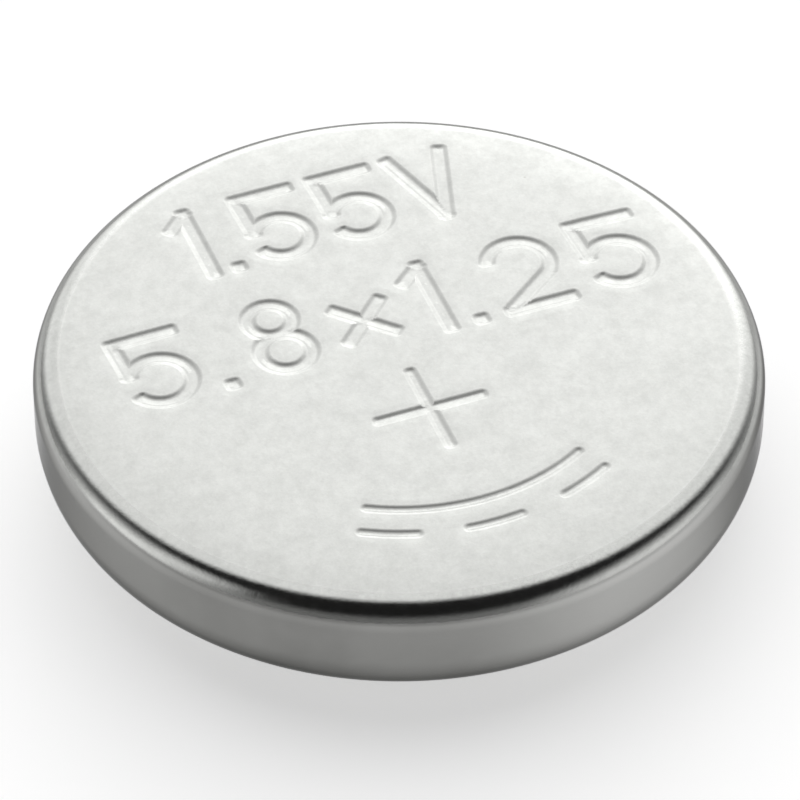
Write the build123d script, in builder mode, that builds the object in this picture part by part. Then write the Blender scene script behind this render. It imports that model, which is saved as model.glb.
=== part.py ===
"""Silver oxide button cell, 5.8 mm across and 1.25 mm high.

A drawn steel can, which is the positive pole, holds the cathode pellet on the
inside of its flat face, with a barrier membrane and an absorber on it. The
negative cap is a smaller stepped cup full of zinc gel. It goes in mouth to
mouth, and its skirt stands on the foot of a nylon gasket. The rim of the can is
then turned in over the gasket and the shoulder of the cap, which closes the cell.

Frame: the cell lies on its negative cap with its positive face up. The origin is
the middle of the negative contact, and +Z runs along the axis. Every piece is a
body of revolution, so each section is drawn on the XZ plane, where x is the
radius. Sizes are in millimetres.
"""

import os

from build123d import *

# Envelope of the cell
CELL_DIAMETER = 5.8
CELL_HEIGHT = 1.25

# Positive can, from steel sheet
CAN_SHEET = 0.13
FACE_EDGE = 0.25  # outside radius round the flat face
CAN_BEVEL = 0.07  # inside the can, behind that radius, which keeps the sheet's thickness there
RIM_LENGTH = 0.08  # straight end of the rim, past the crimp
RIM_BEVEL = 0.03  # on the rim's cut edge

# Negative cap, from clad sheet; its inside corners are square, as coining leaves them
CAP_SHEET = 0.13
CONTACT_EDGE = 0.15  # outside radius round the contact face
SHOULDER_EDGE = 0.18  # outside radius round the flange, where the crimp bears
NECK_BEVEL = 0.09  # inside the cap, on the step from the neck to the flange
SKIRT_LAND = 0.02  # straight end of the skirt, past the shoulder

# Gasket, moulded in nylon
GASKET_WALL = 0.18  # between the can and the cap, all the way round the crimp
GASKET_FOOT = 0.12  # under the end of the skirt
FOOT_WIDTH = 0.45  # from the can's wall inwards
RIM_GAP = 0.28  # from the can's rim to the cap's neck, where the gasket shows
BEAD_CLEARANCE = 0.08  # from the gasket's bead to the cap's neck
BEAD_SET_BACK = 0.04  # how far the bead stays below the outside of the rim
BEAD_BEVEL = 0.04  # on both corners of the bead

# Filling
CATHODE_THICKNESS = 0.27
MEMBRANE_THICKNESS = 0.05
MEMBRANE_CLEARANCE = 0.03  # round the membrane, so that it drops into the can
ABSORBER_CLEARANCE = 0.03  # round the absorber, inside the gasket's foot

# Radii. The bends of the seal share one centre, so its layers nest round the cap's shoulder
can_radius = CELL_DIAMETER / 2
can_bore = can_radius - CAN_SHEET
skirt_radius = can_bore - GASKET_WALL
skirt_bore = skirt_radius - CAP_SHEET
foot_bore = can_bore - FOOT_WIDTH
crimp_bore = SHOULDER_EDGE + GASKET_WALL
crimp_radius = crimp_bore + CAN_SHEET
rim_bore = can_radius - crimp_radius - RIM_LENGTH
neck_radius = rim_bore - RIM_GAP
neck_bore = neck_radius - CAP_SHEET
bead_bore = neck_radius + BEAD_CLEARANCE

# Heights, from the positive face down
cathode_top = CELL_HEIGHT - CAN_SHEET
cathode_base = cathode_top - CATHODE_THICKNESS
membrane_base = cathode_base - MEMBRANE_THICKNESS
skirt_end = membrane_base - GASKET_FOOT
crimp_start = skirt_end - SKIRT_LAND
flange_base = crimp_start - SHOULDER_EDGE
flange_inside = flange_base + CAP_SHEET
rim_inside = crimp_start - crimp_bore
rim_base = crimp_start - crimp_radius
bead_base = rim_base + BEAD_SET_BACK

os.makedirs("parts", exist_ok=True)

# Positive can: one drawn sheet, with its rim turned in
with BuildPart() as positive_can:
    with BuildSketch(Plane.XZ) as can_section:
        with BuildLine():
            can_outside = FilletPolyline(
                (0, CELL_HEIGHT),
                (can_radius, CELL_HEIGHT),
                (can_radius, rim_base),
                (rim_bore, rim_base),
                radius=[FACE_EDGE, crimp_radius],
            )
            can_inside = FilletPolyline(
                (rim_bore, rim_inside),
                (can_bore, rim_inside),
                (can_bore, cathode_top - CAN_BEVEL),
                (can_bore - CAN_BEVEL, cathode_top),
                (0, cathode_top),
                radius=[crimp_bore, 0, 0],
            )
            Line(can_outside @ 1, can_inside @ 0)
            Line(can_inside @ 1, can_outside @ 0)
        make_face()
        rim_corner = can_section.vertices().group_by(Axis.Y)[0].sort_by(Axis.X)[0]
        chamfer(rim_corner, RIM_BEVEL)
    revolve(axis=Axis.Z)
positive_can.part.label = "positive_can"

# Room inside the cap: its section shapes both the cap and the gel that fills it
with BuildSketch(Plane.XZ) as cap_room:
    with BuildLine():
        Polyline(
            (0, CAP_SHEET),
            (neck_bore, CAP_SHEET),
            (neck_bore, flange_inside - NECK_BEVEL),
            (neck_bore + NECK_BEVEL, flange_inside),
            (skirt_bore, flange_inside),
            (skirt_bore, skirt_end),
            (0, skirt_end),
            close=True,
        )
    make_face()

# Negative cap: a stepped cup, with a neck, a flange and a skirt
with BuildPart() as negative_cap:
    with BuildSketch(Plane.XZ):
        with BuildLine():
            cap_outside = FilletPolyline(
                (0, 0),
                (neck_radius, 0),
                (neck_radius, flange_base),
                (skirt_radius, flange_base),
                (skirt_radius, skirt_end),
                radius=[CONTACT_EDGE, 0, SHOULDER_EDGE],
            )
            Polyline(cap_outside @ 1, (0, skirt_end), cap_outside @ 0)
        make_face()
    revolve(axis=Axis.Z)
    revolve(cap_room.sketch, axis=Axis.Z, mode=Mode.SUBTRACT)
negative_cap.part.label = "negative_cap"

# Gasket: fills the crimp between can and cap, and shows as a bead inside the rim
with BuildPart() as sealing_gasket:
    with BuildSketch(Plane.XZ) as gasket_section:
        with BuildLine():
            outside = FilletPolyline(
                (can_bore, membrane_base),
                (can_bore, rim_inside),
                (rim_bore, rim_inside),
                radius=crimp_bore,
            )
            bead = Polyline(
                outside @ 1,
                (rim_bore, bead_base),
                (bead_bore, bead_base),
                (bead_bore, flange_base),
            )
            inside = FilletPolyline(
                bead @ 1,
                (skirt_radius, flange_base),
                (skirt_radius, skirt_end),
                radius=SHOULDER_EDGE,
            )
            Polyline(
                inside @ 1,
                (foot_bore, skirt_end),
                (foot_bore, membrane_base),
                outside @ 0,
            )
        make_face()
        bead_corners = gasket_section.vertices().group_by(Axis.Y)[0]
        chamfer(bead_corners, BEAD_BEVEL)
    revolve(axis=Axis.Z)
sealing_gasket.part.label = "sealing_gasket"

# Cathode: a pellet pressed into the can, so that its edge has the can's bevel
with BuildPart() as cathode_pellet:
    with BuildSketch(Plane.XY.offset(cathode_base)):
        Circle(can_bore)
    extrude(amount=CATHODE_THICKNESS)
    top_edge = cathode_pellet.edges().filter_by(GeomType.CIRCLE).group_by(Axis.Z)[-1]
    chamfer(top_edge, CAN_BEVEL)
cathode_pellet.part.label = "cathode_pellet"

# Barrier membrane: a punched disc, held at its edge between pellet and gasket foot
with BuildPart() as barrier_membrane:
    with BuildSketch(Plane.XY.offset(membrane_base)):
        Circle(can_bore - MEMBRANE_CLEARANCE)
    extrude(amount=MEMBRANE_THICKNESS)
barrier_membrane.part.label = "barrier_membrane"

# Absorber: a felt disc inside the gasket's foot, as thick as the foot
with BuildPart() as absorber:
    with BuildSketch(Plane.XY.offset(skirt_end)):
        Circle(foot_bore - ABSORBER_CLEARANCE)
    extrude(amount=GASKET_FOOT)
absorber.part.label = "absorber"

# Zinc gel: takes all the room inside the cap, up to the absorber
with BuildPart() as zinc_anode:
    revolve(cap_room.sketch, axis=Axis.Z)
zinc_anode.part.label = "zinc_anode"

for piece in (
    positive_can,
    negative_cap,
    sealing_gasket,
    cathode_pellet,
    barrier_membrane,
    absorber,
    zinc_anode,
):
    export_step(piece.part, f"parts/{piece.part.label}.step")
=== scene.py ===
"""Looks of the silver oxide button cell: a stamped, nickel-plated can over a stepped cap.

The cell lies on its negative cap with the positive face up. The can, the cap and the gasket
are turned again here as smooth meshes on the frame's own sizes, and the can's face gets its
stamped marks. The filling inside the cell keeps its solids and gets its own finishes.

Sizes are in millimetres, and leave this script in metres when a mesh is made.
"""

import logging
import math
from abc import ABC, abstractmethod
from collections.abc import Callable, Iterator
from dataclasses import dataclass, field
from enum import Enum
from functools import partial
from typing import ClassVar

import bpy
import numpy as np
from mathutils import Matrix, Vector
from mathutils.geometry import delaunay_2d_cdt


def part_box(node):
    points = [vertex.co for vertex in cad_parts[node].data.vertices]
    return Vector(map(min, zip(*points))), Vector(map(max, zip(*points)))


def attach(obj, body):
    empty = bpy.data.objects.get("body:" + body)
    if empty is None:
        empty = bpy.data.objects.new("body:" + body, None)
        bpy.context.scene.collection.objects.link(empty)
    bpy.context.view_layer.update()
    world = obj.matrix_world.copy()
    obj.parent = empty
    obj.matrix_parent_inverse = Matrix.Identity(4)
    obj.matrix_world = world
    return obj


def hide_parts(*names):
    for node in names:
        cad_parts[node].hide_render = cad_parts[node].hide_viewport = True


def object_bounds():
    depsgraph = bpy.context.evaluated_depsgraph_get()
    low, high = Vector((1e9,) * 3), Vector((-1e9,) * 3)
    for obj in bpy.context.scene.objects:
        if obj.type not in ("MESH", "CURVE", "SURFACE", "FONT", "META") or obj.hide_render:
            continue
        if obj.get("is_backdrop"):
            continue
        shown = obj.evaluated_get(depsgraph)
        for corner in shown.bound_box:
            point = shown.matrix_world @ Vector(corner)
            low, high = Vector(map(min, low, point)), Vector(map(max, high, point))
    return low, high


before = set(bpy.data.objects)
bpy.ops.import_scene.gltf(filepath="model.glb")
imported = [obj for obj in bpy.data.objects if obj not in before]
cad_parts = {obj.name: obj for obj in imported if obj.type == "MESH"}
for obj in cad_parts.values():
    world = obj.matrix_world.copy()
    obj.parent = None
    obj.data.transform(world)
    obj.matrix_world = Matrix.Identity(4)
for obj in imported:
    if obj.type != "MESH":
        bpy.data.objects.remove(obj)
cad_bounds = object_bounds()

log = logging.getLogger("button_cell")

MM = 0.001

Point = tuple[float, float]
Side = tuple[int, int, int]
Loop = np.ndarray
Socket = bpy.types.NodeSocket
Source = bpy.types.Node | Socket
Add = Callable[..., bpy.types.Node]

SOFT = {"interpolation_type": "SMOOTHSTEP"}
WHITE = (1.0, 1.0, 1.0, 1.0)
NOISE_REACH = (0.3, 0.7)


# Small helpers


def box_mm(node: str) -> tuple[Vector, Vector]:
    """Gives a solid's lowest and highest corners.

    Args:
        node: Name of the solid in the frame.

    Returns:
        The two corners, in millimetres.
    """
    low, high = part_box(node)
    return low / MM, high / MM


def linear(hex_colour: str) -> tuple[float, float, float, float]:
    """Turns an sRGB colour into the linear one that a shader takes.

    Args:
        hex_colour: The colour as "#rrggbb".

    Returns:
        Linear red, green and blue, and an alpha of one.
    """
    channels = [int(hex_colour[i : i + 2], 16) / 255 for i in (1, 3, 5)]
    red, green, blue = (c / 12.92 if c <= 0.04045 else ((c + 0.055) / 1.055) ** 2.4 for c in channels)
    return red, green, blue, 1.0


def smooth_step(t: np.ndarray) -> np.ndarray:
    """Rises from nought to one with flat ends."""
    t = np.clip(t, 0.0, 1.0)
    return t * t * (3 - 2 * t)


def add_node(
    tree: bpy.types.NodeTree,
    kind: str,
    settings: dict[str | int, object] | None = None,
    links: dict[str | int, Source] | None = None,
) -> bpy.types.Node:
    """Adds a shader node with its settings and links.

    Args:
        tree: The node tree.
        kind: The node's type, without the "ShaderNode" that it starts with.
        settings: Values for its properties, and for its inputs by name or number.
        links: What feeds each input: a socket, or a node, whose first open output is taken.

    Returns:
        The new node.
    """
    node = tree.nodes.new("ShaderNode" + kind)
    for name, value in (settings or {}).items():
        if isinstance(name, str) and hasattr(node, name):
            setattr(node, name, value)
        else:
            open_socket(node.inputs, name).default_value = value
    for name, source in (links or {}).items():
        output = source if isinstance(source, Socket) else open_socket(source.outputs)
        tree.links.new(output, open_socket(node.inputs, name))
    return node


def open_socket(sockets: bpy.types.bpy_prop_collection, name: str | int | None = None) -> Socket:
    """Finds a socket that the node's settings leave open.

    Args:
        sockets: A node's inputs or outputs.
        name: The socket's name or number; the first open one if it is left out.

    Returns:
        The socket.
    """
    if isinstance(name, int):
        return sockets[name]
    return next(socket for socket in sockets if socket.enabled and name in (None, socket.name))


# Stamped marks


@dataclass(frozen=True)
class Bar:
    """A straight stroke of the stamp.

    Attributes:
        start: One end of its centre line.
        end: The other end.
    """

    start: Point
    end: Point

    def unroll(self, x: np.ndarray, y: np.ndarray) -> tuple[np.ndarray, np.ndarray, float]:
        """Measures points from the middle of the stroke.

        Args:
            x: Places along the marks' base line.
            y: Places across it.

        Returns:
            Their places along and across the stroke, and half its length.
        """
        run = np.subtract(self.end, self.start)
        length = math.hypot(*run)
        along_x, along_y = run / length if length else (1.0, 0.0)
        dx = x - (self.start[0] + self.end[0]) / 2
        dy = y - (self.start[1] + self.end[1]) / 2
        return dx * along_x + dy * along_y, dy * along_x - dx * along_y, length / 2

    def extent(self) -> tuple[np.ndarray, np.ndarray]:
        """Gives the corners of the centre line's box."""
        return np.minimum(self.start, self.end), np.maximum(self.start, self.end)

    def moved(self, dx: float, dy: float) -> "Bar":
        """Gives the same stroke in another place."""
        return Bar((self.start[0] + dx, self.start[1] + dy), (self.end[0] + dx, self.end[1] + dy))


@dataclass(frozen=True)
class Bow:
    """A stroke of the stamp that follows part of a circle, or all of it.

    Attributes:
        centre: Middle of the circle.
        radius: Radius of the centre line.
        start: Angle where the stroke starts, in degrees.
        sweep: How far it turns, in degrees; 360 closes it.
    """

    centre: Point
    radius: float
    start: float
    sweep: float

    def unroll(self, x: np.ndarray, y: np.ndarray) -> tuple[np.ndarray, np.ndarray, float]:
        """Measures points from the middle of the stroke.

        Args:
            x: Places along the marks' base line.
            y: Places across it.

        Returns:
            Their places along and across the stroke, and half its length.
        """
        dx, dy = x - self.centre[0], y - self.centre[1]
        turned = np.degrees(np.arctan2(dy, dx)) - (self.start + self.sweep / 2)
        along = np.radians((turned + 180) % 360 - 180) * self.radius
        half_turn = 360.0 if abs(self.sweep) >= 360 else abs(self.sweep) / 2
        return along, np.hypot(dx, dy) - self.radius, math.radians(half_turn) * self.radius

    def extent(self) -> tuple[np.ndarray, np.ndarray]:
        """Gives the corners of the whole circle's box."""
        return np.subtract(self.centre, self.radius), np.add(self.centre, self.radius)

    def moved(self, dx: float, dy: float) -> "Bow":
        """Gives the same stroke in another place."""
        return Bow((self.centre[0] + dx, self.centre[1] + dy), self.radius, self.start, self.sweep)


class Glyph(Enum):
    """Plain characters that the stamp can cut."""

    ONE = "1"
    TWO = "2"
    FIVE = "5"
    EIGHT = "8"
    POINT = "."
    TIMES = "x"
    VOLT = "V"


@dataclass(frozen=True)
class Mark:
    """Strokes of one width that are stamped together.

    Attributes:
        strokes: The strokes, placed on the face.
        width: Width of a stroke, at half its depth; it also reaches half of that past its ends.
        corner: Rounding of the four corners of a stroke.
    """

    strokes: tuple[Bar | Bow, ...]
    width: float
    corner: float = 0.03

    def distance(self, x: np.ndarray, y: np.ndarray) -> np.ndarray:
        """Measures how far points lie from the edge of the strokes.

        Args:
            x: Places along the marks' base line.
            y: Places across it.

        Returns:
            Distances, negative inside a stroke.
        """
        nearest = np.full(np.shape(x), np.inf)
        for stroke in self.strokes:
            along, across, half_length = stroke.unroll(x, y)
            beyond = np.abs(along) - half_length - self.width / 2 + self.corner
            beside = np.abs(across) - self.width / 2 + self.corner
            outside = np.hypot(np.maximum(beyond, 0), np.maximum(beside, 0))
            inside = np.minimum(np.maximum(beyond, beside), 0)
            nearest = np.minimum(nearest, outside + inside - self.corner)
        return nearest


@dataclass(frozen=True)
class Lettering:
    """Upright characters of one height and stroke, as an engraver's pantograph draws them.

    Attributes:
        height: Height of a character.
        width: Width of a round one.
        stroke: Width of its strokes.
        gap: Space between two characters.
    """

    height: float
    width: float
    stroke: float
    gap: float

    def character(self, glyph: Glyph) -> tuple[list[Bar | Bow], float]:
        """Draws one character with its lower left corner at the origin.

        Args:
            glyph: Which character.

        Returns:
            Its strokes and its width.
        """
        low, high = self.stroke / 2, self.height - self.stroke / 2
        left, right = self.stroke / 2, self.width - self.stroke / 2
        middle, bowl = (left + right) / 2, (right - left) / 2
        match glyph:
            case Glyph.ONE:
                stem = 0.36 * self.width
                flag = Bar((left, 0.76 * self.height), (stem, high - 0.01))
                return [Bar((stem, low), (stem, high)), flag], stem + self.stroke / 2
            case Glyph.TWO:
                turn = math.radians(45)
                waist = (middle + bowl * math.cos(turn), high - bowl * (1 + math.sin(turn)))
                head = Bow((middle, high - bowl), bowl, 155, -200)
                inset = 0.35 * self.stroke
                slant = Bar(waist, (left + inset, low + inset))
                return [head, slant, Bar((left, low), (right, low))], self.width
            case Glyph.FIVE:
                start = math.radians(150)
                shoulder = (middle + bowl * math.cos(start), low + bowl * (1 + math.sin(start)))
                corner = (left + 0.15 * self.stroke, high)
                bowl_stroke = Bow((middle, low + bowl), bowl, 150, -292)
                return [Bar(corner, (right, high)), Bar(corner, shoulder), bowl_stroke], self.width
            case Glyph.EIGHT:
                lower = 0.535 * (high - low) / 2
                upper = (high - low) / 2 - lower
                lower_bowl = Bow((middle, low + lower), lower, 0, 360)
                return [lower_bowl, Bow((middle, high - upper), upper, 0, 360)], self.width
            case Glyph.POINT:
                return [Bar((left, low), (left, low))], self.stroke
            case Glyph.TIMES:
                arm = 0.3 * self.width
                across = (left, left + 2 * arm)
                base = 0.42 * self.height - arm
                rising = Bar((across[0], base), (across[1], base + 2 * arm))
                falling = Bar((across[0], base + 2 * arm), (across[1], base))
                return [rising, falling], 2 * arm + self.stroke
            case Glyph.VOLT:
                return [Bar((left, high), (middle, low)), Bar((right, high), (middle, low))], self.width

    def row(self, text: str, centre: float, base: float) -> Mark:
        """Sets a row of characters.

        Args:
            text: The characters.
            centre: Middle of the row, along the base line.
            base: Height of the base line on the face.

        Returns:
            The row as one mark.
        """
        drawn = [self.character(Glyph(letter)) for letter in text]
        length = sum(width for _, width in drawn) + self.gap * (len(drawn) - 1)
        place = centre - length / 2
        strokes = []
        for parts, width in drawn:
            strokes += [part.moved(place, base) for part in parts]
            place += width + self.gap
        return Mark(tuple(strokes), self.stroke)


@dataclass
class Tracer:
    """Follows the lines where a grid of heights passes through nought.

    Attributes:
        height: Height at each row and column; none of them is nought.
        columns: Place of each column.
        rows: Place of each row.
        links: For each side of a cell that a line crosses, the sides that it crosses before and after.
    """

    height: np.ndarray
    columns: np.ndarray
    rows: np.ndarray
    links: dict[Side, list[Side]] = field(default_factory=dict)

    def loops(self) -> Iterator[Loop]:
        """Follows each closed line once.

        Returns:
            The points of each line, in order.
        """
        self.link_crossings()
        while self.links:
            side, (following, _) = next(iter(self.links.items()))
            line = [side]
            while following != line[0]:
                before, side = line[-1], following
                line.append(side)
                one, other = self.links[side]
                following = other if one == before else one
            for side in line:
                del self.links[side]
            yield np.array([self.crossing(side) for side in line])

    def link_crossings(self) -> None:
        """Links the crossings on the sides of each cell that the line passes through."""
        below = self.height < 0
        corners = below[:-1, :-1].astype(int) + below[:-1, 1:] + below[1:, 1:] + below[1:, :-1]
        for row, column in zip(*np.nonzero((corners > 0) & (corners < 4))):
            row, column = int(row), int(column)
            sides = [(0, row, column), (1, row, column + 1), (0, row + 1, column), (1, row, column)]
            crossed = [side for side in sides if self.crossing(side)]
            middle = self.height[row : row + 2, column : column + 2].mean()
            if len(crossed) == 4 and below[row, column] == (middle < 0):
                crossed = crossed[1:] + crossed[:1]
            for one, other in zip(crossed[::2], crossed[1::2]):
                self.links.setdefault(one, []).append(other)
                self.links.setdefault(other, []).append(one)

    def crossing(self, side: Side) -> Point | None:
        """Finds where along a cell's side the height is nought, if it changes sign there.

        Args:
            side: Whether the side is upright, and the row and column of the grid point where it starts.

        Returns:
            The point, or None.
        """
        upright, row, column = side
        start, end = (row, column), (row + upright, column + 1 - upright)
        if (self.height[start] < 0) == (self.height[end] < 0):
            return None
        share = self.height[start] / (self.height[start] - self.height[end])
        x = self.columns[start[1]] + share * (self.columns[end[1]] - self.columns[start[1]])
        y = self.rows[start[0]] + share * (self.rows[end[0]] - self.rows[start[0]])
        return float(x), float(y)


def outlines(mark: Mark, level: float, spacing: float) -> Iterator[Loop]:
    """Finds the closed lines that run at one distance from the edge of a mark's strokes.

    Args:
        mark: The mark.
        level: The distance, negative inside the strokes.
        spacing: Distance between the points along a line.

    Returns:
        Each line's points, in order.
    """
    margin = mark.width / 2 + abs(level) + 2 * spacing
    corners = np.array([stroke.extent() for stroke in mark.strokes])
    low, high = corners[:, 0].min(axis=0) - margin, corners[:, 1].max(axis=0) + margin
    columns = np.arange(low[0], high[0], spacing)
    rows = np.arange(low[1], high[1], spacing)
    height = mark.distance(*np.meshgrid(columns, rows)) - level
    height[height == 0] = spacing / 1000
    for loop in Tracer(height, columns, rows).loops():
        yield spaced(loop, spacing)


def spaced(loop: Loop, spacing: float) -> Loop:
    """Sets a closed line's points at even distances.

    Args:
        loop: The points, in order.
        spacing: The distance wanted.

    Returns:
        The new points, on the same line.
    """
    closed = np.vstack([loop, loop[:1]])
    run = np.concatenate([[0.0], np.cumsum(np.hypot(*np.diff(closed, axis=0).T))])
    places = np.linspace(0, run[-1], max(6, round(run[-1] / spacing)), endpoint=False)
    return np.column_stack([np.interp(places, run, closed[:, axis]) for axis in (0, 1)])


# Turned and stamped surfaces


@dataclass
class Section:
    """Half of a turned piece's section, walked with the material on the right.

    Attributes:
        points: Radius and height of each point.
        normals: For the stretch up to each later point, the normal at its two ends.
    """

    points: list[Point]
    normals: list[tuple[Point, Point]] = field(default_factory=list)

    def to(self, *points: Point) -> "Section":
        """Goes straight to each point in turn.

        Args:
            points: The points.

        Returns:
            The section itself.
        """
        for point in points:
            dr, dz = np.subtract(point, self.points[-1])
            normal = (-dz / math.hypot(dr, dz), dr / math.hypot(dr, dz))
            self.points.append(point)
            self.normals.append((normal, normal))
        return self

    def bend(self, centre: Point, radius: float, start: float, end: float, steps: int) -> "Section":
        """Goes round part of a circle.

        Args:
            centre: Middle of the circle.
            radius: Its radius.
            start: Angle where the bend starts, in degrees; the last point is there already.
            end: Angle where it ends. A bend to a lower angle is an outside one.
            steps: How many flats it is made of.

        Returns:
            The section itself.
        """
        side = 1 if end < start else -1
        angles = np.radians(np.linspace(start, end, steps + 1))
        spokes = [(math.cos(angle), math.sin(angle)) for angle in angles]
        for before, after in zip(spokes, spokes[1:]):
            self.points.append((centre[0] + radius * after[0], centre[1] + radius * after[1]))
            self.normals.append(((side * before[0], side * before[1]), (side * after[0], side * after[1])))
        return self


@dataclass
class Skin:
    """The closed surface of a piece.

    Attributes:
        segments: How many flats a full turn has.
        points: Its points, in blocks.
        faces: The numbers of each face's points.
        normals: The normal at each corner of each face, in the same order.
    """

    segments: int = 240
    points: list[np.ndarray] = field(default_factory=list)
    faces: list[tuple[int, ...]] = field(default_factory=list)
    normals: list[np.ndarray] = field(default_factory=list)

    def add_points(self, points: np.ndarray) -> int:
        """Adds points.

        Args:
            points: Their places, one in each row.

        Returns:
            Number of the first one.
        """
        first = sum(len(block) for block in self.points)
        self.points.append(np.asarray(points, float))
        return first

    def spokes(self) -> np.ndarray:
        """Gives the direction of each segment's start, across the axis."""
        angles = np.arange(self.segments) * math.tau / self.segments
        return np.column_stack([np.cos(angles), np.sin(angles)])

    def add_ring(self, radius: float, height: float) -> int:
        """Adds a ring of points round the axis, or the one point on it."""
        spokes = self.spokes() if radius > 0 else np.zeros((1, 2))
        return self.add_points(np.column_stack([spokes * radius, np.full(len(spokes), height)]))

    def turn(self, section: Section, first_ring: int | None = None) -> None:
        """Turns a section round the axis.

        Args:
            section: The section; it is closed if it ends where it starts.
            first_ring: Number of the first point of a ring that is there already, to start from.
        """
        start, *rest = section.points
        rings = [self.add_ring(*start) if first_ring is None else first_ring]
        closed = np.allclose(start, rest[-1])
        rings += [self.add_ring(*point) for point in (rest[:-1] if closed else rest)]
        if closed:
            rings.append(rings[0])
        for number, (near, far) in enumerate(section.normals):
            on_axis = [point[0] == 0 for point in section.points[number : number + 2]]
            self.add_band(rings[number : number + 2], on_axis, near, far)

    def add_band(self, rings: list[int], on_axis: list[bool], near: Point, far: Point) -> None:
        """Joins two rings.

        Args:
            rings: First point of the ring that the band starts from, and of the one it goes to.
            on_axis: Whether each of them is only the point on the axis.
            near: Normal at the first ring, as its parts along the radius and the axis.
            far: Normal at the second ring.
        """
        spokes = self.spokes()
        normals = [np.column_stack([spokes * out, np.full(len(spokes), up)]) for out, up in (near, far)]
        for here in range(self.segments):
            after = (here + 1) % self.segments
            corners = [(0, here), (1, here), (1, after), (0, after)]
            if True in on_axis:
                del corners[3 - on_axis.index(True)]
            face = (rings[ring] + (0 if on_axis[ring] else spoke) for ring, spoke in corners)
            self.faces.append(tuple(face))
            self.normals += [normals[ring][spoke] for ring, spoke in corners]

    def piece(self, name: str) -> bpy.types.Object:
        """Makes the piece.

        Args:
            name: Its name.

        Returns:
            The new object, in the scene.
        """
        mesh = bpy.data.meshes.new(name)
        mesh.from_pydata(np.vstack(self.points) * MM, [], self.faces)
        mesh.shade_smooth()
        mesh.normals_split_custom_set([tuple(normal) for normal in self.normals])
        piece = bpy.data.objects.new(name, mesh)
        bpy.context.scene.collection.objects.link(piece)
        return piece


# Finishes


def start_material(name: str, stretch: float = 1.0) -> tuple[bpy.types.Material, Add, bpy.types.Node]:
    """Makes a material whose node tree holds only the place on the piece.

    Args:
        name: The material's name.
        stretch: How much its textures are drawn out along X.

    Returns:
        The material, the function that adds nodes to it, and the place in millimetres.
    """
    material = bpy.data.materials.new(name)
    material.use_nodes = True
    material.node_tree.nodes.clear()
    add = partial(add_node, material.node_tree)
    place = add("TexCoord").outputs["Object"]
    point = add("Mapping", {"Scale": (1 / MM / stretch, 1 / MM, 1 / MM)}, {"Vector": place})
    return material, add, point


def ramp(start: float, end: float, first: float = 0.0, last: float = 1.0) -> dict[str, float]:
    """Gives the settings of a map range: where it starts and ends, and its values there."""
    return {"From Min": start, "From Max": end, "To Min": first, "To Max": last}


def mottled(add: Add, pattern: Source, reach: Point, colours: tuple[str, str]) -> bpy.types.Node:
    """Mixes two colours by a pattern.

    Args:
        add: Adds nodes to the material.
        pattern: The pattern.
        reach: Its value where the first colour starts to go, and where only the second is left.
        colours: The two colours.

    Returns:
        The mixed colour.
    """
    share = add("MapRange", ramp(*reach), {"Value": pattern})
    first, second = (linear(colour) for colour in colours)
    return add("Mix", {"data_type": "RGBA", "A": first, "B": second}, {"Factor": share})


@dataclass(frozen=True)
class PaintedReflection:
    """A place on the wall that handling has rubbed bright.

    Attributes:
        place: Its middle.
        reach: How far from there the painted reflection starts to fade, and where it has gone.
        colour: Colour painted there for the reflection.
    """

    place: tuple[float, float, float]
    reach: Point
    colour: str


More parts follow.
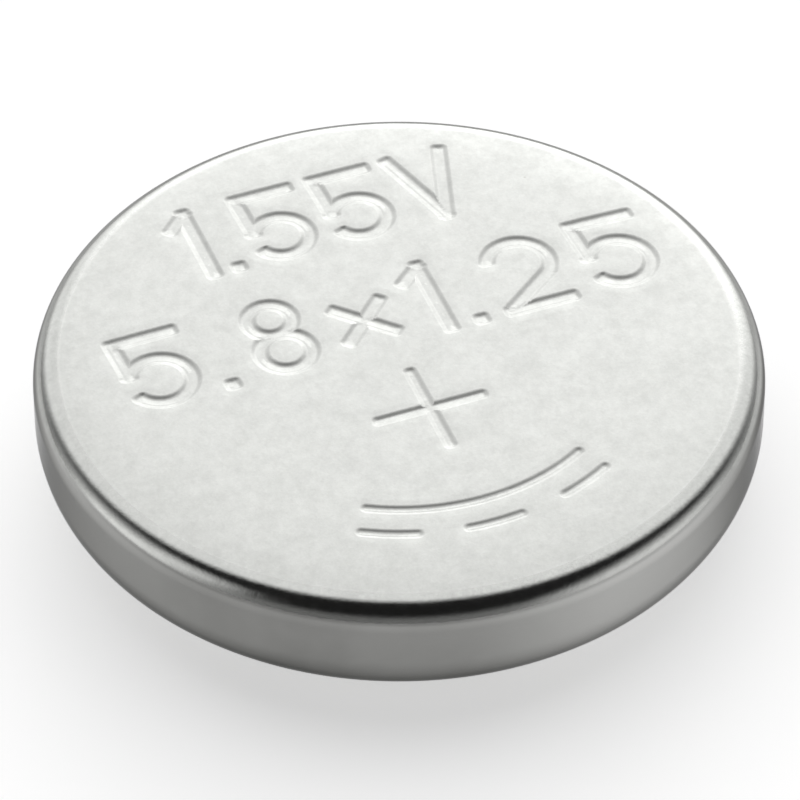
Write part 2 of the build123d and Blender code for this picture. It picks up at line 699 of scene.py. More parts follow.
@dataclass(frozen=True)
class SatinNickel:
    """Bright nickel plate over deep-drawn steel: a soft grey mirror, grainy where the sheet was rolled.

    Attributes:
        name: The material's name.
        face: Colours of the plate on the face: a bright grain's and a dull one's.
        wall: Colours on the wall, which the drawing die has dulled: the plain one and a cloud's.
        edge: How much of the light it still throws back at a glancing angle.
        stain: Colour of the dirt in a pinhole.
        pinholes: How many pinholes there are in a millimetre.
        pinhole: Radius where the dirt is thick, and where it ends.
        face_roughness: Least and greatest roughness of the face.
        wall_roughness: Least and greatest roughness of the wall.
        grain: Size of the coarsest grains, larger than real ones so that they show; finer ones lie in
            them down to 0.01 mm, which is real.
        grain_depth: Depth of the grain.
        streak: Width of a streak that the die leaves down the wall, wider than real so that it shows.
        streak_turns: How often a streak changes in a millimetre down the wall.
        streak_depth: Depth of a streak.
        seam: Heights in the corner between which the wall's darker colour, which is painted shade, ends.
        burnish: Radii between which the face ends and the die's smooth finish starts.
        painted_reflections: Where the wall is painted lighter, as painted reflections of bright lights that
            it mirrors.
    """

    name: str = "nickel_plated_steel_satin"
    face: tuple[str, str] = ("#cfd0cd", "#c3c4c1")
    # The wall's colours are darker than the face's as painted shade, for the shadowed floor that the wall
    # mirrors
    wall: tuple[str, str] = ("#8e8e8c", "#848482")
    edge: str = "#a8a8a8"
    stain: str = "#8a857b"
    pinholes: float = 1.9
    pinhole: Point = (0.012, 0.03)
    face_roughness: Point = (0.4, 0.44)
    wall_roughness: Point = (0.13, 0.19)
    grain: float = 0.22
    grain_depth: float = 0.00135
    streak: float = 0.09
    streak_turns: float = 0.9
    streak_depth: float = 0.0003
    seam: Point = (1.065, 1.125)
    burnish: Point = (2.66, 2.72)
    # Painted reflections of bright lights, at the wall's front right and on its left
    painted_reflections: tuple[PaintedReflection, ...] = (
        PaintedReflection((1.1, -2.68, 0.7), (0.3, 2.0), "#b4b4b2"),
        PaintedReflection((-2.86, 0.35, 0.7), (0.4, 2.8), "#a3a3a1"),
    )

    def material(self) -> bpy.types.Material:
        """Makes the material.

        Returns:
            The new material.
        """
        material, add, point = start_material(self.name)
        grains = {"Scale": 1 / self.grain, "Detail": 4.5, "Roughness": 1.0}
        grain = add("TexNoise", grains, {"Vector": point})
        narrow = 1 / self.streak
        drawn = add("Mapping", {"Scale": (narrow, narrow, self.streak_turns)}, {"Vector": point})
        streak = add("TexNoise", {"Scale": 1.0, "Detail": 3.0}, {"Vector": drawn})
        on_wall, burnished = self.add_masks(add, point)

        face = self.add_face_colour(add, point, grain)
        wall = self.add_wall_colour(add, point)
        # Below the seam the wall's colour takes over, with its painted shade and painted reflections
        colour = add("Mix", {"data_type": "RGBA"}, {"Factor": on_wall, "A": face, "B": wall})
        face_rough = add("MapRange", ramp(*NOISE_REACH, *self.face_roughness), {"Value": grain})
        wall_rough = add("MapRange", ramp(*NOISE_REACH, *self.wall_roughness), {"Value": streak})
        rough = add("Mix", {}, {"Factor": burnished, "A": face_rough, "B": wall_rough})

        # The grain's relief is everywhere, the streaks' only on the wall
        grained = add("Bump", {"Distance": self.grain_depth * MM}, {"Height": grain})
        relief = add("Math", {"operation": "MULTIPLY"}, {0: streak, 1: on_wall})
        streaked = add(
            "Bump", {"Distance": self.streak_depth * MM}, {"Height": relief, "Normal": grained}
        )
        shader = add(
            "BsdfPrincipled",
            {"Metallic": 1.0, "Specular Tint": linear(self.edge)},
            {"Base Color": colour, "Roughness": rough, "Normal": streaked},
        )
        add("OutputMaterial", {}, {"Surface": shader})
        return material

    def add_masks(self, add: Add, point: Source) -> tuple[Source, Source]:
        """Tells the wall from the face.

        Args:
            add: Adds nodes to the material.
            point: The point on the can, in millimetres.

        Returns:
            How much of the wall's colour, with its painted shade, shows, and how much of its smooth finish.
        """
        height = add("SeparateXYZ", {}, {0: point}).outputs["Z"]
        on_wall = add("MapRange", SOFT | ramp(*self.seam, 1.0, 0.0), {"Value": height})
        flat = add("VectorMath", {"operation": "MULTIPLY", 1: (1.0, 1.0, 0.0)}, {0: point})
        away = add("VectorMath", {"operation": "LENGTH"}, {0: flat})
        past_face = add("MapRange", SOFT | ramp(*self.burnish), {"Value": away})
        burnished = add("Math", {"operation": "MAXIMUM"}, {0: past_face, 1: on_wall})
        return on_wall, burnished

    def add_face_colour(self, add: Add, point: Source, grain: Source) -> Source:
        """Colours the face: grains of the rolled sheet, each a little lighter or duller, and specks.

        Args:
            add: Adds nodes to the material.
            point: The point on the can, in millimetres.
            grain: The grain's pattern.

        Returns:
            The colour.
        """
        plate = mottled(add, grain, (0.35, 0.65), self.face)
        pinhole = add("TexVoronoi", {"Scale": self.pinholes}, {"Vector": point})
        dirt = add("MapRange", ramp(*self.pinhole, 0.5, 0.0), {"Value": pinhole})
        stain = {"data_type": "RGBA", "B": linear(self.stain)}
        return add("Mix", stain, {"Factor": dirt, "A": plate})

    def add_wall_colour(self, add: Add, point: Source) -> Source:
        """Colours the wall: wide soft clouds, and painted reflections, which are lighter patches for bright
        lights that the wall mirrors.

        Args:
            add: Adds nodes to the material.
            point: The point on the can, in millimetres.

        Returns:
            The colour.
        """
        cloud = add("TexNoise", {"Scale": 1.3, "Detail": 3.0}, {"Vector": point})
        plate = mottled(add, cloud, (0.35, 0.65), self.wall)
        # Painted reflections: the wall is painted lighter round each given place
        for reflection in self.painted_reflections:
            away = add("VectorMath", {"operation": "DISTANCE", 1: reflection.place}, {0: point})
            reflection_share = add("MapRange", SOFT | ramp(*reflection.reach, 1.0, 0.0), {"Value": away})
            bright = {"data_type": "RGBA", "B": linear(reflection.colour)}
            plate = add("Mix", bright, {"Factor": reflection_share, "A": plate})
        return plate


@dataclass(frozen=True)
class CladCapSheet:
    """Nickel-clad stainless strip, pressed: brighter than the can, with faint rings from the press.

    Attributes:
        name: The material's name.
        colours: Colours of the strip: the clean one and a dull cloud's.
        roughness: Least and greatest roughness of the strip.
        ring: Space between two press rings.
        ring_depth: Depth of a ring.
        grain: Size of the strip's grain, which lies over the rings.
    """

    name: str = "nickel_clad_stainless_pressed"
    colours: tuple[str, str] = ("#cfcdc8", "#c0beb9")
    roughness: Point = (0.17, 0.26)
    ring: float = 0.09
    ring_depth: float = 0.0008
    grain: float = 0.025

    def material(self) -> bpy.types.Material:
        """Makes the material.

        Returns:
            The new material.
        """
        material, add, point = start_material(self.name)
        cloud = add("TexNoise", {"Scale": 0.8, "Detail": 3.0}, {"Vector": point})
        colour = mottled(add, cloud, (0.35, 0.7), self.colours)
        rough = add("MapRange", ramp(*NOISE_REACH, *self.roughness), {"Value": cloud})

        # A ring pattern of scale 1 repeats every 0.314 units
        turned = {"wave_type": "RINGS", "rings_direction": "Z", "Scale": 0.314 / self.ring}
        rings = add("TexWave", turned | {"Distortion": 0.6, "Detail": 2.0}, {"Vector": point})
        grain = add("TexNoise", {"Scale": 1 / self.grain, "Detail": 2.0}, {"Vector": point})
        ringed = add("Bump", {"Distance": self.ring_depth * MM}, {"Height": rings.outputs["Fac"]})
        grained = add(
            "Bump", {"Distance": self.ring_depth * MM / 3}, {"Height": grain, "Normal": ringed}
        )
        shader = add(
            "BsdfPrincipled",
            {"Metallic": 1.0},
            {"Base Color": colour, "Roughness": rough, "Normal": grained},
        )
        add("OutputMaterial", {}, {"Surface": shader})
        return material


@dataclass(frozen=True)
class MouldedNylon:
    """Natural nylon, injection moulded: milky, a little see-through, smooth with a faint ripple.

    Attributes:
        name: The material's name.
        colours: Its own colour, and where sealant and electrolyte have yellowed it.
        roughness: Least and greatest roughness of the skin.
        ripple: Width of a ripple that the mould leaves.
        ripple_depth: Depth of a ripple.
    """

    name: str = "nylon_natural_moulded"
    colours: tuple[str, str] = ("#dedbd0", "#cfc9b6")
    roughness: Point = (0.33, 0.46)
    ripple: float = 0.11
    ripple_depth: float = 0.002

    def material(self) -> bpy.types.Material:
        """Makes the material.

        Returns:
            The new material.
        """
        material, add, point = start_material(self.name)
        cloud = add("TexNoise", {"Scale": 1.4, "Detail": 3.0}, {"Vector": point})
        colour = mottled(add, cloud, (0.35, 0.7), self.colours)
        rough = add("MapRange", ramp(*NOISE_REACH, *self.roughness), {"Value": cloud})
        ripple = add("TexNoise", {"Scale": 1 / self.ripple, "Detail": 2.0}, {"Vector": point})
        rippled = add("Bump", {"Distance": self.ripple_depth * MM}, {"Height": ripple})
        shader = add(
            "BsdfPrincipled",
            {"IOR": 1.53, "Subsurface Weight": 0.25, "Subsurface Scale": 0.15 * MM},
            {"Base Color": colour, "Roughness": rough, "Normal": rippled},
        )
        add("OutputMaterial", {}, {"Surface": shader})
        return material


@dataclass(frozen=True)
class PackedFilling:
    """One of the layers inside: a powder, a film, a felt or a gel, as a colour and a texture of its own.

    Attributes:
        name: The material's name.
        colours: The colour between its grains or fibres, and theirs.
        grain: Size of a grain, or the thickness of a fibre bundle.
        depth: Depth of the texture.
        roughness: Least and greatest roughness of the layer.
        metallic: How metallic the grains look.
        stretch: How much the texture is drawn out along X.
        coat: How wet the surface is.
    """

    name: str
    colours: tuple[str, str]
    grain: float
    depth: float
    roughness: Point
    metallic: float = 0.0
    stretch: float = 1.0
    coat: float = 0.0

    def material(self) -> bpy.types.Material:
        """Makes the material.

        Returns:
            The new material.
        """
        material, add, point = start_material(self.name, self.stretch)
        grains = add("TexVoronoi", {"Scale": 1 / self.grain}, {"Vector": point})
        clouds = add("TexNoise", {"Scale": 0.25 / self.grain, "Detail": 4.0}, {"Vector": point})
        height = add("Math", {"operation": "SUBTRACT"}, {0: clouds, 1: grains})
        colour = mottled(add, height, (-0.3, 0.5), self.colours)
        rough = add("MapRange", ramp(*NOISE_REACH, *self.roughness), {"Value": clouds})
        textured = add("Bump", {"Distance": self.depth * MM}, {"Height": height})
        shader = add(
            "BsdfPrincipled",
            {"Metallic": self.metallic, "Coat Weight": self.coat},
            {"Base Color": colour, "Roughness": rough, "Normal": textured},
        )
        add("OutputMaterial", {}, {"Surface": shader})
        return material


# The cell


@dataclass
class TurnedPiece(ABC):
    """A piece that is turned from its section and stands for one solid.

    Attributes:
        name: Name of the piece.
        node: Name of the solid.
        slot: Name of a material slot; it is not used.
        finish: What the piece is made of.
        low: Lowest corner of the solid.
        high: Highest corner.
    """

    name: ClassVar[str]
    node: ClassVar[str]
    slot: ClassVar[str]
    finish: ClassVar[SatinNickel | CladCapSheet | MouldedNylon]
    low: Vector
    high: Vector

    @abstractmethod
    def section(self) -> Section:
        """Walks the piece's section."""

    def mesh(self) -> bpy.types.Object:
        """Turns the section.

        Returns:
            The new piece.
        """
        skin = Skin()
        skin.turn(self.section())
        return skin.piece(self.name)

    def dress(self, piece: bpy.types.Object) -> None:
        """Gives the piece its material and its place in the frame.

        Args:
            piece: The piece, as mesh() made it.
        """
        material = self.finish.material()
        piece.data.materials.append(material)
        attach(piece, "root")
        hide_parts(self.node)
        log.info("%s stands for %s, in %s", piece.name, self.node, material.name)


@dataclass
class StampedCan(TurnedPiece):
    """The drawn can: a flat face with stamped marks, a tight corner, and a wall crimped in below.

    Attributes:
        sheet: Thickness of the sheet.
        corner: Outside radius where the face meets the wall.
        crown_angle: How steeply the slightly crowned face falls at the next radius, in degrees.
        fall_start: Radius where the face starts to fall away towards the corner.
        fall_angle: How steeply it falls where the corner starts, in degrees.
        crimp: Outside radius of the crimp.
        rim: How far the crimped rim reaches inwards past the crimp.
        rim_edge: Rounding of the rim's cut edge.
        bevel: Width of the bevel inside, behind the corner.
        mark_depth: Depth of the marks.
        mark_wall: Width of a mark's sloping side, seen from above.
        lean: How much shallower a mark is on the side that the punch leaned away from.
        lean_side: Direction of that side, of length one.
        lean_reach: How far from the middle of a stroke the depth changes.
        sink: How far the sheet sinks round a mark.
        sink_width: How far from a stroke's edge the sinking reaches.
        side_lines: Where lines of points run on a mark's side, as shares of half the side's width.
        sink_lines: Where they run round a mark, as shares of the sinking's width.
        bed_lines: Where they run in the bed of a wide stroke, as shares of half the bed's width.
        fine_step: Space between two points on a mark's side and bed.
        coarse_step: Space between two points round a mark.
        rings: How many rings of points fill the face before it falls away, and from there on.
    """

    sheet: float = 0.13
    corner: float = 0.23
    crown_angle: float = 0.52
    fall_start: float = 1.9
    fall_angle: float = 5.0
    crimp: float = 0.49
    rim: float = 0.08
    rim_edge: float = 0.03
    bevel: float = 0.07
    mark_depth: float = 0.018
    mark_wall: float = 0.048
    lean: float = 0.5
    lean_side: Point = (-0.36, -0.93)
    lean_reach: float = 0.03
    sink: float = 0.002
    sink_width: float = 0.09
    side_lines: tuple[float, ...] = (1.1, 0.75, 0.45, 0.15, -0.15, -0.45, -0.75, -1.1)
    sink_lines: tuple[float, ...] = (0.4, 0.6, 0.8, 1.0)
    bed_lines: tuple[float, ...] = (0.7, 0.4)
    fine_step: float = 0.014
    coarse_step: float = 0.02
    rings: tuple[int, int] = (21, 7)

    name = "stamped_can"
    node = "positive_can"
    slot = "can_plating"
    finish = SatinNickel()

    def face_radius(self) -> float:
        """Gives the radius where the face ends and the corner starts."""
        return self.high.x - self.corner * (1 - math.sin(math.radians(self.fall_angle)))

    def marks(self) -> list[Mark]:
        """Lays out the marks: the voltage, the cell's two sizes, its sign and the direct-current sign.

        Returns:
            The marks, placed on the face.
        """
        narrow = Lettering(height=0.88, width=0.57, stroke=0.113, gap=0.1)
        wide = Lettering(height=0.88, width=0.62, stroke=0.113, gap=0.15)
        arm = 0.43
        sign = (Bar((-arm, 0), (arm, 0)), Bar((0, -arm), (0, arm)))
        dashes = [Bow((0, 0), 2.08, 264 + turn, 12) for turn in (-23, 0, 23)]
        return [
            narrow.row("1.55V", -0.03, 1.29),
            wide.row("5.8x1.25", 0.07, 0.02),
            Mark(tuple(stroke.moved(-0.02, -0.73) for stroke in sign), 0.08),
            Mark((Bow((0, 0), 1.82, 241, 58), *dashes), 0.06),
        ]

    def surface(self, x: np.ndarray, y: np.ndarray) -> np.ndarray:
        """Gives the height of the stamped face.

        Args:
            x: Places along the marks' base line.
            y: Places across it.

        Returns:
            The heights.
        """
        crown = math.tan(math.radians(self.crown_angle))
        steepest = math.tan(math.radians(self.fall_angle)) - crown * self.face_radius() / self.fall_start
        away = np.hypot(x, y)
        beyond = np.maximum(away - self.fall_start, 0)
        height = self.high.z - crown / 2 / self.fall_start * away**2
        height -= steepest / 3 / (self.face_radius() - self.fall_start) ** 2 * beyond**3

        # How the distance grows towards the shallow side tells where in a stroke a point lies
        step_x, step_y = np.multiply(self.lean_side, self.lean_reach)
        for mark in self.marks():
            distance = mark.distance(x, y)
            rise = mark.distance(x + step_x, y + step_y) - mark.distance(x - step_x, y - step_y)
            depth = self.mark_depth * (1 - self.lean * (0.5 + rise / self.lean_reach / 4))
            height -= depth * smooth_step((self.mark_wall / 2 - distance) / self.mark_wall)
            height -= self.sink * smooth_step(1 - distance / self.sink_width)
        return height

    def face_normals(self, x: np.ndarray, y: np.ndarray) -> np.ndarray:
        """Gives the normals of the stamped face, from its slopes.

        Args:
            x: Places along the marks' base line.
            y: Places across it.

        Returns:
            The normals, one in each row.
        """
        step = 1e-4
        slope_x = (self.surface(x + step, y) - self.surface(x - step, y)) / (2 * step)
        slope_y = (self.surface(x, y + step) - self.surface(x, y - step)) / (2 * step)
        normals = np.column_stack([-slope_x, -slope_y, np.ones_like(x)])
        return normals / np.linalg.norm(normals, axis=1)[:, None]

    def mark_lines(self) -> Iterator[Loop]:
        """Draws lines down the side of every stroke, round it and along its bed.

        Returns:
            The points of each line, in order.
        """
        for mark in self.marks():
            for share in self.side_lines:
                yield from outlines(mark, share * self.mark_wall / 2, self.fine_step)
            for share in self.sink_lines:
                yield from outlines(mark, share * self.sink_width, self.coarse_step)
            bed = mark.width / 2 - max(self.side_lines) * self.mark_wall / 2
            for share in self.bed_lines if bed > self.coarse_step else ():
                yield from outlines(mark, share * bed - mark.width / 2, self.fine_step)

    def add_face(self, skin: Skin) -> None:
        """Adds the face.

        Args:
            skin: The can's surface; the face's outer ring is its first ring.
        """
        ring = skin.spokes() * self.face_radius()
        lines = [ring, *self.mark_lines()]
        inner = np.linspace(0.1, self.fall_start, self.rings[0], endpoint=False)
        outer = np.linspace(self.fall_start, self.face_radius(), self.rings[1], endpoint=False)
        loose = [skin.spokes() * radius for radius in (*inner, *outer)]
        numbers, edges = 0, []
        for line in lines:
            run = np.arange(len(line))
            edges += zip((numbers + run).tolist(), (numbers + np.roll(run, -1)).tolist())
            numbers += len(line)
        flat = np.vstack([*lines, *loose])
        points = [Vector(point) for point in flat]
        found, _, triangles, origins, *_ = delaunay_2d_cdt(points, edges, [], 0, 1e-6)

        # The ring's own points come first, so that the corner can be turned on from them
        firsts = [min(merged, default=len(flat)) for merged in origins]
        order = {first: number for number, first in enumerate(firsts) if first < len(ring)}
        kept = [order[number] for number in range(len(ring))]
        kept += sorted(set(range(len(found))) - set(kept))
        renumbered = {old: new for new, old in enumerate(kept)}
        x, y = np.array([found[old] for old in kept]).T
        x[: len(ring)], y[: len(ring)] = ring.T
        skin.add_points(np.column_stack([x, y, self.surface(x, y)]))
        normals = self.face_normals(x, y)
        for triangle in triangles:
            corners = tuple(renumbered[old] for old in triangle)
            skin.faces.append(corners)
            skin.normals += [normals[corner] for corner in corners]

    def section(self) -> Section:
        """Walks the can's section from the edge of the face, round the wall and back inside.

        Returns:
            The section, which leaves out the face.
        """
        start = 90 - self.fall_angle
        edge = self.face_radius()
        height = float(self.surface(np.array([edge]), np.array([0.0]))[0])
        bend = self.high.x - self.corner
        wall_top = height - self.corner * math.sin(math.radians(start))
        crimp = self.high.x - self.crimp
        crimp_height = self.low.z + self.crimp
        inside = self.high.x - self.sheet
        rim, lip = self.rim_edge, crimp - self.rim
        floor = self.low.z + self.sheet
        roof = self.high.z - self.sheet
        section = Section([(edge, height)])
        section.bend((bend, wall_top), self.corner, start, 0, 24)
        section.to((self.high.x, crimp_height))
        section.bend((crimp, crimp_height), self.crimp, 0, -90, 32)
        section.to((lip + rim, self.low.z))
        section.bend((lip + rim, self.low.z + rim), rim, -90, -180, 6)
        section.to((lip, floor), (crimp, floor))
        section.bend((crimp, crimp_height), self.crimp - self.sheet, -90, 0, 16)
        section.to((inside, roof - self.bevel), (inside - self.bevel, roof), (0, roof))
        return section

    def mesh(self) -> bpy.types.Object:
        """Stamps the face, and turns the rest of the can on from it.

        Returns:
            The new piece.
        """
        skin = Skin()
        self.add_face(skin)
        skin.turn(self.section(), first_ring=0)
        return skin.piece(self.name)


@dataclass
class SteppedCap(TurnedPiece):
    """The negative cap: a flat contact, a straight neck and a shoulder that the gasket grips.

    Attributes:
        sheet: Thickness of the sheet.
        neck: Outside radius of the neck.
        contact_edge: Outside radius where the contact meets the neck.
        shoulder: Height of the shoulder's underside.
        shoulder_edge: Outside radius of the shoulder's bend.
        neck_bend: Width of the bend inside, where the neck meets the shoulder.
    """

    sheet: float = 0.13
    neck: float = 2.05
    contact_edge: float = 0.15
    shoulder: float = 0.48
    shoulder_edge: float = 0.18
    neck_bend: float = 0.09

    name = "stepped_cap"
    node = "negative_cap"
    slot = "cap_sheet"
    finish = CladCapSheet()

    def section(self) -> Section:
        """Walks the cap's section from the middle of its inside, over the shoulder and back below.

        Returns:
            The section, from axis to axis.
        """
        bore = self.neck - self.sheet
        roof = self.shoulder + self.sheet
        skirt = self.high.x
        bend = skirt - self.shoulder_edge
        turn = self.shoulder + self.shoulder_edge
        edge = self.contact_edge
        section = Section([(0, self.low.z + self.sheet)])
        section.to((bore, self.low.z + self.sheet), (bore, roof - self.neck_bend))
        section.to((bore + self.neck_bend, roof), (skirt - self.sheet, roof))
        section.to((skirt - self.sheet, self.high.z), (skirt, self.high.z), (skirt, turn))
        section.bend((bend, turn), self.shoulder_edge, 0, -90, 14)
        section.to((self.neck, self.shoulder), (self.neck, self.low.z + edge))
        section.bend((self.neck - edge, self.low.z + edge), edge, 0, -90, 18)
        section.to((0.02, self.low.z), (0, self.low.z))
        return section


@dataclass
class SealRing(TurnedPiece):
    """The nylon gasket: it cups the cap's skirt and shows as a round bead inside the crimped rim.

    Attributes:
        bead: Radius of the bead's bore.
        rim: Radius of the can's rim, which the bead swells past.
        can_floor: Height of the crimp's inside.
        bend: Radius of the crimp's inside.
        shoulder: Height of the cap's shoulder.
        shoulder_edge: Radius of its bend.
        skirt: Outside radius of the cap's skirt.
        foot: Radius of the foot's bore, under the skirt's end.
        foot_height: Height of the foot's underside.
        bead_round: Rounding of the bead.
    """

    bead: float = 2.13
    rim: float = 2.33
    can_floor: float = 0.30
    bend: float = 0.36
    shoulder: float = 0.48
    shoulder_edge: float = 0.18
    skirt: float = 2.59
    foot: float = 2.32
    foot_height: float = 0.68
    bead_round: float = 0.08

    name = "seal_ring"
    node = "sealing_gasket"
    slot = "gasket_nylon"
    finish = MouldedNylon()

    def section(self) -> Section:
        """Walks the gasket's section from its top, down its outside, round the bead and back.

        Returns:
            The section, which ends where it starts.
        """
        bead = self.bead_round
        outside = self.high.x - self.bend
        turn = self.can_floor + self.bend
        inside = self.skirt - self.shoulder_edge
        section = Section([(self.high.x, self.high.z)])
        section.to((self.high.x, turn))
        section.bend((outside, turn), self.bend, 0, -90, 16)
        section.to((self.rim, self.can_floor), (self.rim, self.low.z + bead))
        section.bend((self.rim - bead, self.low.z + bead), bead, 0, -90, 10)
        section.to((self.bead + bead, self.low.z))
        section.bend((self.bead + bead, self.low.z + bead), bead, -90, -180, 10)
        section.to((self.bead, self.shoulder), (inside, self.shoulder))
        section.bend((inside, self.shoulder + self.shoulder_edge), self.shoulder_edge, -90, 0, 14)
        section.to((self.skirt, self.foot_height), (self.foot, self.foot_height), (self.foot, self.high.z))
        section.to((self.high.x, self.high.z))
        return section


@dataclass(frozen=True)
class Filling:
    """The four layers inside the cell, which keep their solids.

    Attributes:
        cathode: Silver oxide and graphite powder, pressed hard: near black with a dull metal glint.
        membrane: Cellophane and grafted film, laminated: thin and pale, with a soft gloss.
        absorber: Cotton and rayon felt, needled: matt and off-white, soaked through.
        anode: Zinc powder in gelled electrolyte: grey grains with a wet shine.
    """

    cathode: PackedFilling = PackedFilling(
        "silver_oxide_pressed", ("#1d1b1c", "#3d3a3b"), 0.03, 0.004, (0.44, 0.56), metallic=0.4
    )
    membrane: PackedFilling = PackedFilling(
        "cellophane_laminated", ("#b9ab84", "#d9cfae"), 0.2, 0.001, (0.24, 0.36)
    )
    absorber: PackedFilling = PackedFilling(
        "felt_needled", ("#aaa69a", "#e2dfd6"), 0.05, 0.012, (0.79, 0.91), stretch=5.0, coat=0.1
    )
    anode: PackedFilling = PackedFilling(
        "zinc_powder_gelled", ("#4c4e52", "#9a9ca0"), 0.09, 0.02, (0.34, 0.46), metallic=0.6, coat=0.5
    )

    def dress(self) -> None:
        """Gives each solid its finish."""
        finishes = {
            "cathode_pellet": self.cathode,
            "barrier_membrane": self.membrane,
            "absorber": self.absorber,
            "zinc_anode": self.anode,
        }
        for node, finish in finishes.items():
            material = finish.material()
            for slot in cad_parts[node].material_slots:
                slot.material = material
            log.info("%s keeps its solid, in %s", node, finish.name)


# The studio


@dataclass(frozen=True)
class SoftLight:
    """One soft light, seen from the cell as a round bright patch with a faded edge.

    Attributes:
        azimuth: Where it stands, turned from the camera's side to the right, in degrees.
        elevation: How high it stands, in degrees.
        radius: Half of the angle that it fills, to the middle of its faded edge.
        fade: Width of that edge.
        level: Its brightness.
    """

    azimuth: float
    elevation: float
    radius: float
    fade: float
    level: float


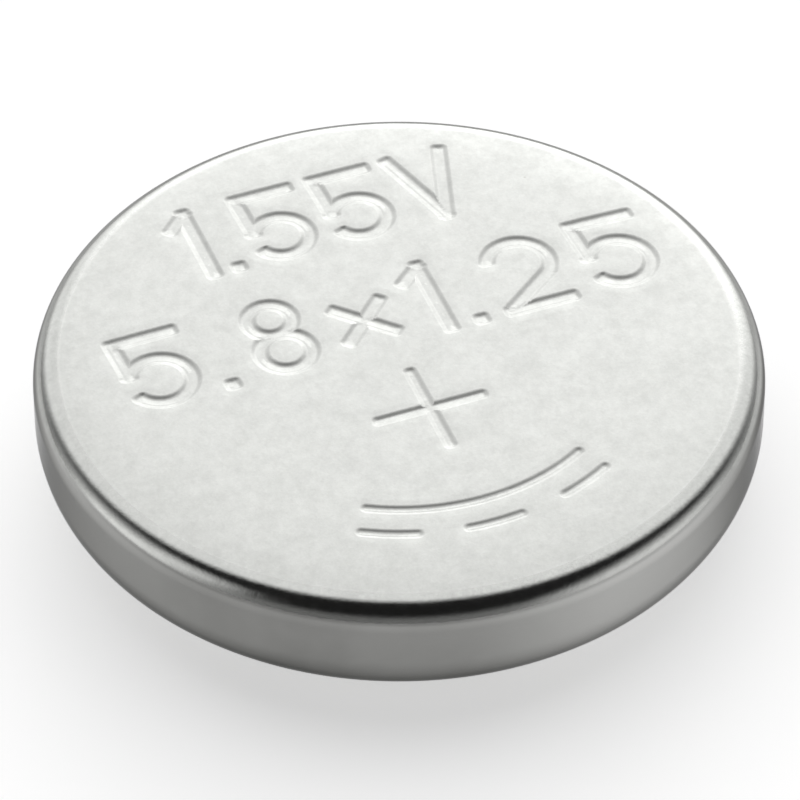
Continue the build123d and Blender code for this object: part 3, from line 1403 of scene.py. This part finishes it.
@dataclass(frozen=True)
class Studio:
    """A pale floor, soft light from all round and a camera with a long lens.

    Attributes:
        azimuth: Where the camera stands, in degrees; at nought it looks along Y.
        elevation: How high it stands, in degrees.
        distance: How far from the cell.
        lens: Focal length on a 36 mm sensor.
        shift: How far the picture is moved aside and up, as shares of its width.
        room: Brightness of the room high up, between the lights.
        skirting: Brightness of the room down at the floor's edge.
        skirting_top: Elevation where that has faded, in degrees.
        paper: Colour of the floor.
        floor_reach: How far the floor reaches from the cell's axis.
        floor_drop: How far it lies below the contact, so that the two don't share one plane.
        glow: What the floor adds for the eye and for mirrors near the cell, so that it shows white.
        far_glow: What it adds further off.
        glow_edge: How far from the cell's axis the glow starts and ends fading.
        lights: The lights.
    """

    azimuth: float = -21.0
    elevation: float = 43.6
    distance: float = 47.8
    lens: float = 270.0
    shift: Point = (0.0011, 0.0054)
    room: float = 0.015
    skirting: float = 0.36
    skirting_top: float = 36.0
    paper: str = "#f4f4f4"
    floor_reach: float = 2000.0
    floor_drop: float = 0.01
    glow: float = 0.5
    far_glow: float = 0.22
    glow_edge: Point = (6.0, 11.0)
    lights: tuple[SoftLight, ...] = (
        SoftLight(180, 44, 50, 20, 1.06),
        SoftLight(174, 21, 18, 25, 1.6),
        SoftLight(72, -2, 28, 36, 0.7),
        SoftLight(-80, 3, 15, 24, 0.38),
        SoftLight(-78, 8, 26, 30, 0.55),
        SoftLight(-60, 30, 12, 16, 0.42),
    )

    def direction(self, azimuth: float, elevation: float) -> Vector:
        """Gives a direction from the cell.

        Args:
            azimuth: Turned from the camera's side to the right, in degrees.
            elevation: Upwards, in degrees.

        Returns:
            The direction, of length one.
        """
        turn, rise = math.radians(self.azimuth + azimuth), math.radians(elevation)
        return Vector((math.sin(turn) * math.cos(rise), -math.cos(turn) * math.cos(rise), math.sin(rise)))

    def light_room(self) -> None:
        """Lights the scene from a world that holds the soft lights."""
        world = bpy.data.worlds.new("studio")
        world.use_nodes = True
        world.node_tree.nodes.clear()
        bpy.context.scene.world = world
        add = partial(add_node, world.node_tree)
        facing = add("TexCoord").outputs["Generated"]
        rise = add("SeparateXYZ", {}, {0: facing}).outputs["Z"]
        top = math.sin(math.radians(self.skirting_top))
        total = add("MapRange", SOFT | ramp(0.0, top, self.skirting, self.room), {"Value": rise})
        for light in self.lights:
            middle = tuple(self.direction(light.azimuth, light.elevation))
            dot = add("VectorMath", {"operation": "DOT_PRODUCT", 1: middle}, {0: facing})
            angle = add("Math", {"operation": "ARCCOSINE"}, {0: dot})
            start, end = (math.radians(light.radius + half * light.fade / 2) for half in (-1, 1))
            patch = add("MapRange", SOFT | ramp(start, end, light.level, 0.0), {"Value": angle})
            total = add("Math", {"operation": "ADD"}, {0: total, 1: patch})
        background = add("Background", {"Color": WHITE}, {"Strength": total})
        add("OutputWorld", {}, {"Surface": background})
        log.info("studio with %d soft lights", len(self.lights))

    def lay_floor(self) -> None:
        """Lays the floor: matt and pale, and white to the eye except in the cell's shadow."""
        mesh = bpy.data.meshes.new("floor")
        reach = self.floor_reach * MM
        drop = -self.floor_drop * MM
        corners = [(-reach, -reach, drop), (reach, -reach, drop), (reach, reach, drop), (-reach, reach, drop)]
        mesh.from_pydata(corners, [], [(0, 1, 2, 3)])
        floor = bpy.data.objects.new("floor", mesh)
        bpy.context.scene.collection.objects.link(floor)
        material, add, point = start_material("paper_matt")

        # White for the eye, for mirrors and through clear things, yet darker where the cell shades it
        path = add("LightPath")
        seen = path.outputs["Is Camera Ray"]
        for ray in ("Is Glossy Ray", "Is Transmission Ray"):
            seen = add("Math", {"operation": "MAXIMUM"}, {0: seen, 1: path.outputs[ray]})
        away = add("VectorMath", {"operation": "LENGTH"}, {0: point})
        glow = add("MapRange", SOFT | ramp(*self.glow_edge, self.glow, self.far_glow), {"Value": away})
        shown = add("Math", {"operation": "MULTIPLY"}, {0: seen, 1: glow})
        matt = {"Base Color": linear(self.paper), "Roughness": 1.0, "Specular IOR Level": 0.0}
        paper = add("BsdfPrincipled", matt | {"Emission Color": WHITE}, {"Emission Strength": shown})

        # Seen through from below, so that the underside can be looked at
        below = add("NewGeometry").outputs["Backfacing"]
        surface = add("MixShader", {}, {0: below, 1: paper, 2: add("BsdfTransparent")})
        add("OutputMaterial", {}, {"Surface": surface})
        mesh.materials.append(material)
        floor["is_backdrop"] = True

    def set_camera(self, middle: Vector) -> None:
        """Sets the camera.

        Args:
            middle: The point that it looks at, in metres.
        """
        data = bpy.data.cameras.new("camera")
        data.lens = self.lens
        data.sensor_width = 36.0
        data.shift_x, data.shift_y = self.shift
        data.clip_start = 0.001
        camera = bpy.data.objects.new("camera", data)
        bpy.context.scene.collection.objects.link(camera)
        back = self.direction(0, self.elevation)
        camera.location = middle + back * self.distance * MM
        camera.rotation_euler = back.to_track_quat("Z", "Y").to_euler()
        bpy.context.scene.camera = camera


def main() -> None:
    """Builds the cell and its studio."""
    logging.basicConfig(level=logging.INFO, format="%(message)s")
    can = StampedCan(*box_mm("positive_can"))
    cap = SteppedCap(*box_mm("negative_cap"))
    seal = SealRing(*box_mm("sealing_gasket"))
    for part in (can, cap, seal):
        part.dress(part.mesh())
    Filling().dress()

    studio = Studio()
    studio.light_room()
    studio.lay_floor()
    studio.set_camera(Vector((0, 0, can.high.z * MM / 2)))
    bpy.context.scene.view_settings.view_transform = "Standard"

    boxes = {"cad": cad_bounds, "visual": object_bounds()}
    {name: [list(corner) for corner in box] for name, box in boxes.items()}


if __name__ == "__main__":
    main()
